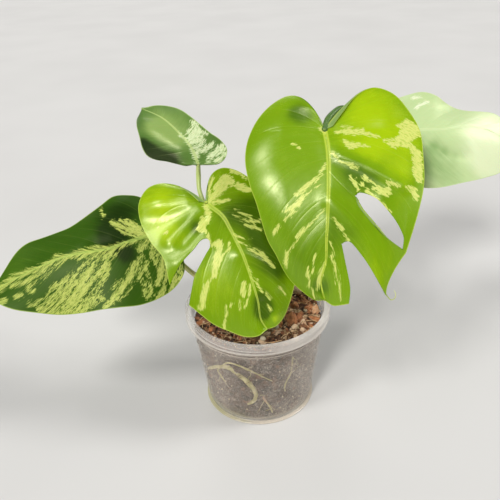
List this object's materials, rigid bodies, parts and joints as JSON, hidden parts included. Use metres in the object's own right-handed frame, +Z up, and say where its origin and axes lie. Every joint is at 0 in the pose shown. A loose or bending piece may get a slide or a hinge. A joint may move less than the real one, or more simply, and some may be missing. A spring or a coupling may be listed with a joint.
{
  "type": "potted variegated monstera",
  "caption": "Young variegated monstera houseplant: heart-shaped, split and holed leaves on curved stalks, rooted in bark mix inside a clear tapered nursery cup that stands on its foot ring.",
  "frame": {"origin": "centre of the cup's flat underside, at floor level", "axes": "+Z up; the picture looks along +Y with +X to its right; the leaves spread along X and face -Y"},
  "size_m": [0.399, 0.1335, 0.2371],
  "materials": {
    "clear_plastic": "clear, faintly hazed moulded plastic",
    "bark_mix": "loose matt bark, perlite and coir",
    "root": "matt living root skin",
    "stem": "satin living stem skin",
    "petiole": "satin living stalk skin",
    "leaf_lime": "glossy young leaf with cream markings",
    "leaf_dark": "satin leaf with cream marbling",
    "leaf_pale": "satin pale green leaf with cream markings"
  },
  "bodies": {
    "root": {"pot": "clear_plastic", "substrate": "bark_mix", "roots": "root", "main_stem": "stem", "petiole_newest": "petiole", "petiole_centre": "petiole", "petiole_left": "petiole", "petiole_small": "petiole", "petiole_back": "petiole", "blade_newest": "leaf_lime", "blade_centre": "leaf_lime", "blade_left": "leaf_dark", "blade_small": "leaf_dark", "blade_back": "leaf_pale"}
  },
  "joints": []
}
